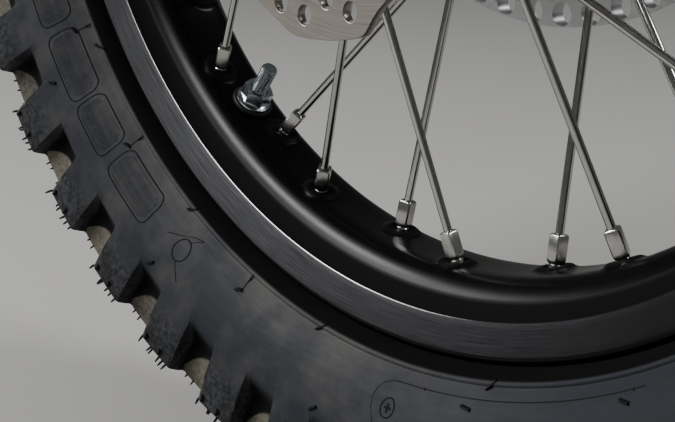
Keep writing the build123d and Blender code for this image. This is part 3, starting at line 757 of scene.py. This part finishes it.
# Rim, as rows of distance from the middle and radius, from the middle out and back inside
rim = {
    "wellRadius": 225.5,
    "wellStep": 0.95,
    "bossReach": 8.6,
    "bossHeight": 1.5,
    "dishReach": 5.4,
    "dishDepth": 1.1,
    "flange": [
        (9.4, 225.6), (10.9, 225.65), (12.0, 225.8), (12.9, 226.05), (13.7, 226.4), (14.6, 226.9),
        (15.4, 227.45), (16.2, 228.05), (16.9, 228.7), (17.5, 229.35), (18.1, 230.0), (18.65, 230.7),
        (19.15, 231.35), (19.6, 232.0), (20.05, 232.7), (20.5, 233.4), (20.9, 234.1), (21.5, 235.05),
        (22.25, 236.05), (23.5, 237.4), (25.2, 238.95), (26.5, 239.9), (27.45, 240.5),
    ],
    "edge": [(27.7, 240.9)],
    "face": [(28.6, 243.6), (29.6, 246.8), (30.6, 250.0), (31.35, 252.4)],
    "lip": [
        (31.5, 253.2), (31.5, 254.3), (31.25, 255.1), (30.7, 255.7), (29.9, 256.0), (28.9, 255.8),
        (28.0, 254.9),
    ],
    "inside": [
        (27.4, 252.5), (27.35, 243.0), (26.8, 242.5), (13.5, 242.4), (12.0, 240.0), (9.0, 229.6),
        (4.0, 229.5),
    ],
    "insideMiddle": 229.5,
    # the part that the bosses and dishes may move, and the columns' angles from a nipple
    "raisedWidth": 14.5,
    "raisedRadius": 236,
    "columns": [0.0, 0.16, 0.36, 0.6, 0.84, 1.06, 1.28, 1.5, 1.72, 1.94, 2.2, 2.6, 3.3, 4.4],
}


def rimRows():
    # each row's place and its finish: 0 black, 1 the bright edge, 2 the brushed face
    half = [(i * rim["wellStep"], rim["wellRadius"], 0) for i in range(1, 10)]
    for part, kind in (("flange", 0), ("edge", 1), ("face", 2), ("lip", 0), ("inside", 0)):
        half += [(across, radius, kind) for across, radius in rim[part]]
    rows = [(0.0, rim["wellRadius"], 0)] + half + [(0.0, rim["insideMiddle"], 0)]
    return rows + [(-across, radius, kind) for across, radius, kind in reversed(half)]


def raised(point, seat, axis):
    # a point of the well, lifted to the boss round a nipple or sunk in its dish
    reach = point - seat
    aside = (reach - axis * reach.dot(axis)).length / mm
    lift = rim["bossHeight"] * (1 - smoothStep(rim["bossReach"] - 2.6, rim["bossReach"] + 0.6, aside))
    sink = rim["dishDepth"] * (1 - smoothStep(rim["dishReach"] - 2.4, rim["dishReach"], aside))
    return point + axis * (lift - sink) * mm


def makeRim():
    rows = rimRows()
    slots = []
    for (a, r, kind), (nextA, nextR, nextKind) in zip(rows, rows[1:] + rows[:1]):
        pair = {kind, nextKind}
        slots.append(1 if pair == {0, 1} else 2 if 2 in pair else 0)
    columns = [-t for t in reversed(rim["columns"])] + rim["columns"][1:] + [spokePitch / 2]
    points = []
    for place, (seat, axis) in enumerate(nippleSeats(rim["wellRadius"])):
        for step in columns:
            angle = spokes["turn"] + place * spokePitch + step
            for across, radius, kind in rows:
                point = onWheel(radius, angle, across)
                if radius < rim["raisedRadius"] and abs(across) < rim["raisedWidth"]:
                    point = raised(point, seat, axis)
                points.append(point)
    around = spokes["count"] * len(columns)
    faces = ringFaces(0, around, len(rows), closed=True)
    materials = [finishes["rim"], finishes["brightEdge"], finishes["flange"]]
    return outwards(makeObject("rimRing", points, faces, materials, slots * around, 40))


rimRing = dress(makeRim(), "wheel", "rim")
print("rim made:", len(rimRing.data.polygons), "faces")


# Nipples: rings along each, as distance from the seat, half its width and its roundness, and how
# far each nipple is turned about its spoke
nipple = {
    "rings": [
        (-2.5, 2.9, 1.0), (1.0, 2.9, 1.0), (1.5, 2.85, 1.0), (1.8, 2.5, 0.9), (2.2, 2.75, 0.6),
        (2.9, 3.0, 0.3), (3.8, 3.1, 0.12), (8.5, 3.1, 0.10), (13.3, 3.1, 0.12), (13.8, 2.9, 0.2),
        (14.15, 2.55, 0.5), (14.2, 2.2, 0.9), (14.0, 1.95, 1.0), (12.5, 1.85, 1.0),
    ],
    "around": 32,
    "turns": [64, 74, 83, 52, 20, 41, 5, 61, 27, 15, 48, 33, 60, 14, 66, 59],
}


def squareRadius(half, roundness, angle):
    # a square with rounded corners, as its radius at an angle in degrees
    fromFlat = abs((angle + 45) % 90 - 45)
    flat = half / math.cos(math.radians(fromFlat))
    corner = half * (1.30 - 0.30 * roundness)
    return min(flat * (1 - roundness) + half * roundness, corner)


def makeNipples():
    points, faces = [], []
    turns = [360 * (j + 0.5) / nipple["around"] for j in range(nipple["around"])]
    rings = [[(squareRadius(half, roundness, turn), along) for turn in turns]
             for along, half, roundness in nipple["rings"]]
    for i, (seat, axis) in enumerate(nippleSeats(rim["wellRadius"])):
        turnIt = frameAt(axis, nipple["turns"][i % len(nipple["turns"])])
        addRings(points, faces, seat, turnIt, rings, closed=False, shift=0.5)
    return outwards(makeObject("spokeNipples", points, faces, [finishes["nipple"]], sharpAngle=30))


dress(makeNipples(), "wheel", "spoke_nipples")
print("nipples made")


# Rim lock: an M8 stud with a flanged nut on a thin washer
rimLock = {
    "angle": -37.775,
    "seat": 225.28,
    "tip": 201.5,
    "thread": {"outer": 3.9, "inner": 3.15, "pitch": 1.25, "start": -3.5, "chamfer": 0.8, "around": 36},
    "flats": 13.0,
    "nut": 6.5,
    "nutTurn": 14,
    "flange": 8.6,
    "hole": 4.1,
    "washer": 2.0,
    "washerRadius": 10.0,
}
lockSeat = onWheel(rimLock["seat"], rimLock["angle"], 0)
lockFrame = frameAt(-lockSeat.normalized(), rimLock["nutTurn"])


def makeRimLockStud():
    # rings down the thread, with painted shade as a darker finish in its bottom
    thread = rimLock["thread"]
    inner, depth = thread["inner"], thread["outer"] - thread["inner"]
    start, end = thread["start"], rimLock["seat"] - rimLock["tip"]
    count, around = int((end - start) / thread["pitch"] * 8) + 1, thread["around"]
    rings, slots = [], []
    for i in range(count):
        along = start + (end - start) * i / (count - 1)
        onChamfer = along > end - thread["chamfer"]
        ring = []
        for j in range(around):
            phase = (along / thread["pitch"] - j / around) % 1.0
            radius = inner + depth * limited(abs(phase - 0.5) * 2.6 - 0.15)
            if onChamfer:
                radius = min(radius, inner + 0.1 + end - along)
            ring.append((radius, along))
            slots.append(1 if radius < inner + depth * 0.35 and not onChamfer else 0)
        rings.append(ring)
    points, faces = [], []
    addRings(points, faces, lockSeat, lockFrame, rings, closed=False)
    faces.append(tuple(range(len(points) - around, len(points))))
    faces.append(tuple(range(around - 1, -1, -1)))
    slots[-around:] = [0, 0]
    materials = [finishes["zinc"], finishes["threadRootShade"]]
    return outwards(makeObject("rimLockStud", points, faces, materials, slots, 24))


def hexRings(flats, hole, low, high, around=48):
    # a nut's rings, with its corners cut back at the top
    topRadius = flats / 2 * 0.985
    slope = math.tan(math.radians(30))
    corners = [flats / 2 / math.cos(math.radians(360 * j / around % 60 - 30)) for j in range(around)]
    bottom = [(radius, low) for radius in corners]
    shoulder = [(radius, high - (radius - topRadius) * slope) for radius in corners]
    top = [(topRadius, high), (hole + 0.5, high), (hole, high - 0.6)]
    return turnedRings([(hole, low)]) + [bottom, shoulder] + turnedRings(top)


def makeRimLockNut():
    points, faces = [], []
    low, flange, hole = rimLock["washer"] + 0.05, rimLock["flange"], rimLock["hole"]
    skirt = [(hole, low), (flange - 0.3, low), (flange, low + 0.35), (flange - 0.1, low + 0.95),
             (flange - 1.2, low + 1.5), (6.2, low + 2.0), (hole, low + 2.0)]
    addRings(points, faces, lockSeat, lockFrame, turnedRings(skirt))
    sixSided = hexRings(rimLock["flats"], hole - 0.05, low + 1.2, low + 1.6 + rimLock["nut"])
    addRings(points, faces, lockSeat, lockFrame, sixSided)
    return outwards(makeObject("rimLockNut", points, faces, [finishes["zinc"]], sharpAngle=25))


def makeRimLockWasher():
    points, faces = [], []
    wide, thick, hole = rimLock["washerRadius"], rimLock["washer"], rimLock["hole"]
    section = [(hole, 0.05), (wide - 0.2, 0.05), (wide, 0.4), (wide, thick - 0.4),
               (wide - 0.35, thick), (hole, thick)]
    addRings(points, faces, lockSeat, lockFrame, turnedRings(section))
    return outwards(makeObject("rimLockWasher", points, faces, [finishes["washerDark"]]))


dress(makeRimLockStud(), "wheel", "rim_lock_stud")
dress(makeRimLockNut(), "wheel", "rim_lock_nut")
dress(makeRimLockWasher(), "wheel", "rim_lock_washer")
print("rim lock made")


# Plates with bevelled edges: outlines in the wheel's plane, as points of x and z in millimetres
def makePlate(name, outline, holes, sizes, material):
    across, wall, bevel = [sizes[key] for key in ("across", "wall", "bevel")]
    curve = bpy.data.curves.new(name, "CURVE")
    curve.dimensions = "2D"
    curve.fill_mode = "BOTH"
    curve.extrude = (wall / 2 - bevel) * mm
    curve.bevel_depth = bevel * mm
    curve.bevel_resolution = 1
    curve.offset = -bevel * mm
    for loop in [outline, *holes]:
        spline = curve.splines.new("POLY")
        spline.points.add(len(loop) - 1)
        for point, (x, z) in zip(spline.points, loop):
            point.co = (x * mm, z * mm, 0, 1)
        spline.use_cyclic_u = True
    holder = addObject(name + "Curve", curve)
    bpy.context.view_layer.update()
    mesh = bpy.data.meshes.new_from_object(holder)
    bpy.data.objects.remove(holder)
    mesh.transform(Matrix(((1, 0, 0, 0), (0, 0, -1, across * mm), (0, 1, 0, 0), (0, 0, 0, 1))))
    mesh.materials.clear()
    mesh.materials.append(material)
    smooth(mesh, 28)
    mesh.name = name
    return outwards(addObject(name, mesh))


def circleLoop(centre, radius, count=36):
    x, z = centre
    turns = [2 * math.pi * i / count for i in range(count)]
    return [(x + radius * math.cos(turn), z + radius * math.sin(turn)) for turn in turns]


# Brake disc, waved, with the same sizes as the solid. Its waves and holes are angles and radii.
disc = {
    "across": -59.0,
    "wall": 4.0,
    "bevel": 0.35,
    "waves": 6,
    "wave": [
        (-14.6, 133.2), (-14.0, 133.05), (-12.6, 132.5), (-10.2, 131.5), (-5.1, 129.4), (-0.5, 127.5),
        (2.3, 126.1), (3.1, 125.5), (3.8, 124.4), (4.5, 122.8), (5.9, 119.2), (7.0, 117.0),
        (8.3, 114.9), (10.4, 112.3), (13.0, 111.4), (18.0, 111.4), (23.0, 111.8), (27.0, 113.4),
        (30.4, 117.4), (32.8, 124.2), (33.8, 127.6), (34.6, 129.5), (36.0, 130.3), (40.0, 131.1),
        (43.6, 132.6), (44.8, 133.05),
    ],
    "holes": [
        (-19.3, 123.5), (-12.5, 123.3), (-6.9, 113.8), (0.0, 116.7), (6.5, 107.2), (13.0, 104.2),
        (19.8, 105.2), (26.5, 104.2), (33.4, 109.2), (-14.5, 108.2), (-1.0, 105.2),
    ],
    "holeRadius": 4.0,
    "band": 98.2,
    "bolts": 4,
    "boltRadius": 47.0,
    "boltTurn": 15.0,
    "boltHole": 3.1,
    "arm": 17.0,
    "armLean": 24.0,
    "centre": 37.0,
    "windowRadius": 45.0,
}


def armEdge(angle, shift):
    # one edge of an arm that leans from its bolt to the band, as a point and a direction
    bolt = Vector(flatPoint(disc["boltRadius"], angle))
    end = Vector(flatPoint(disc["band"] + 3, angle + disc["armLean"]))
    along = (end - bolt).normalized()
    return bolt + Vector((-along.y, along.x)) * shift - along * 30, along


def crossAngle(line, radius, near):
    # where a straight line passes outwards through a circle, as an angle within half a turn of near
    start, along = line
    back = start.dot(along)
    root = math.sqrt(max(0.0, back * back - (start.length_squared - radius * radius)))
    hit = start + along * (root - back)
    angle = math.degrees(math.atan2(hit.x, -hit.y))
    return angle + 360 * round((near - angle) / 360)


def discWindows():
    # the openings between the arms, each bounded by two arms, the band and the centre
    windows = []
    half, inner, outer = disc["arm"] / 2, disc["windowRadius"], disc["band"]
    for i in range(disc["bolts"]):
        angle = disc["boltTurn"] + 90 * i
        first, second = armEdge(angle, half), armEdge(angle + 90, -half)
        a0, a1 = crossAngle(first, inner, angle + 20), crossAngle(first, outer, angle + 40)
        b0, b1 = crossAngle(second, inner, angle + 75), crossAngle(second, outer, angle + 95)
        loop = [flatPoint(outer, a1 + (b1 - a1) * k / 24) for k in range(25)]
        windows.append(loop + [flatPoint(inner, b0 + (a0 - b0) * k / 12) for k in range(13)])
    return windows


def makeDisc():
    turns = [360 / disc["waves"] * i for i in range(disc["waves"])]
    outline = [flatPoint(radius, angle + turn) for turn in turns for angle, radius in disc["wave"]]
    holes = [circleLoop((0, 0), disc["centre"], 96)] + discWindows()
    holes += [circleLoop(flatPoint(radius, angle + turn), disc["holeRadius"])
              for turn in turns for angle, radius in disc["holes"]]
    holes += [circleLoop(flatPoint(disc["boltRadius"], disc["boltTurn"] + 90 * i), disc["boltHole"])
              for i in range(disc["bolts"])]
    return makePlate("brakeDiscPlate", outline, holes, disc, finishes["disc"])


dress(makeDisc(), "wheel", "brake_disc")
print("disc made")


# The solids that stay as they are, by their finish
nodeFinishes = {
    "axle": ["axle"],
    "zinc": ["axle_nut", "axle_washer"],
    "collar": ["disc_side_collar", "sprocket_side_collar"],
    "hub": ["hub"],
    "bearing": ["disc_side_bearing", "sprocket_side_bearing"],
    "seal": ["disc_side_seal", "sprocket_side_seal"],
    "spoke": ["disc_side_spokes", "sprocket_side_spokes"],
    "bolt": ["brake_disc_bolts", "sprocket_bolts", "sprocket_nuts"],
    "sprocket": ["sprocket"],
    "brass": ["valve_stem", "valve_nut"],
    "cap": ["valve_cap"],
}
for finish, nodeNames in nodeFinishes.items():
    for nodeName in nodeNames:
        nodes[nodeName].data.materials.clear()
        nodes[nodeName].data.materials.append(finishes[finish])
print("nodes dressed")


# Floor and backdrop, one sheet that curves up behind the wheel, in metres
floor = {
    "level": -0.3415,
    "reach": 12.0,
    "aside": 14.0,
    "back": 4.0,
    "height": 8.0,
    "curve": 1.2,
    "heading": (-0.7481, 0.6636, 0),
}


def makeFloor():
    curve = floor["curve"]
    bendStart = floor["back"] - curve
    profile = [(-floor["reach"], 0.0), (bendStart, 0.0)]
    for i in range(1, 13):
        turn = math.pi / 2 * i / 12
        profile.append((bendStart + curve * math.sin(turn), curve * (1 - math.cos(turn))))
    profile.append((floor["back"], floor["height"]))
    heading = Vector(floor["heading"])
    aside = Vector((heading.y, -heading.x, 0))
    points = [heading * forward + aside * x + Vector((0, 0, floor["level"] + up))
              for forward, up in profile for x in (-floor["aside"], floor["aside"])]
    faces = [(a, a + 1, a + 3, a + 2) for a in range(0, 2 * len(profile) - 2, 2)]
    return makeObject("studioFloor", points, faces, [finishes["floor"]])


makeFloor()


# Light
def areaLight(name, place, target, size, power):
    lamp = bpy.data.lights.new(name, "AREA")
    lamp.shape = "RECTANGLE"
    lamp.size, lamp.size_y = size
    lamp.energy = power
    holder = addObject(name, lamp)
    holder.location = place
    holder.rotation_mode = "QUATERNION"
    holder.rotation_quaternion = (Vector(target) - Vector(place)).to_track_quat("-Z", "Y")


areaLight("keyLight", (-0.95, -1.7, 1.45), (-0.15, 0, -0.2), (1.8, 0.35), 38)
areaLight("leftLight", (-1.8, -1.5, 0.95), (-0.2, 0, -0.2), (0.8, 0.6), 10)
areaLight("backLight", (1.5, 1.3, 1.5), (0, 0, -0.2), (1.2, 0.5), 20)
sky = {"colour": (0.80, 0.82, 0.85, 1), "strength": 0.15}
world = bpy.data.worlds.new("studioSky")
world.use_nodes = True
background = world.node_tree.nodes["Background"]
background.inputs["Color"].default_value = sky["colour"]
background.inputs["Strength"].default_value = sky["strength"]
bpy.context.scene.world = world
print("floor and light made")


# Camera, from the photograph's perspective: its place in millimetres, its focal length and the
# photograph's width in pixels
camera = {
    "azimuth": 48.41,
    "elevation": 14.61,
    "place": (416.46, -436.86, -48.16),
    "focal": 1483.34,
    "width": 675,
    "sensor": 36.0,
}


def makeCamera():
    lens = bpy.data.cameras.new("photoCamera")
    lens.sensor_width = camera["sensor"]
    lens.lens = camera["focal"] * camera["sensor"] / camera["width"]
    lens.clip_start, lens.clip_end = 0.01, 50.0
    made = addObject("photoCamera", lens)
    turn, dip = math.radians(camera["azimuth"]), math.radians(camera["elevation"])
    looking = Vector((-math.sin(turn) * math.cos(dip), math.cos(turn) * math.cos(dip), -math.sin(dip)))
    rightward = Vector((math.cos(turn), math.sin(turn), 0))
    upward = rightward.cross(looking)
    place = Vector(camera["place"]) * mm
    rows = zip(rightward, upward, -looking, place)
    made.matrix_world = Matrix((*rows, (0, 0, 0, 1)))
    return made


bpy.context.scene.camera = makeCamera()
bpy.context.scene.view_settings.view_transform = "AgX"
bpy.context.scene.view_settings.look = "AgX - Medium High Contrast"

print("pieces ready")
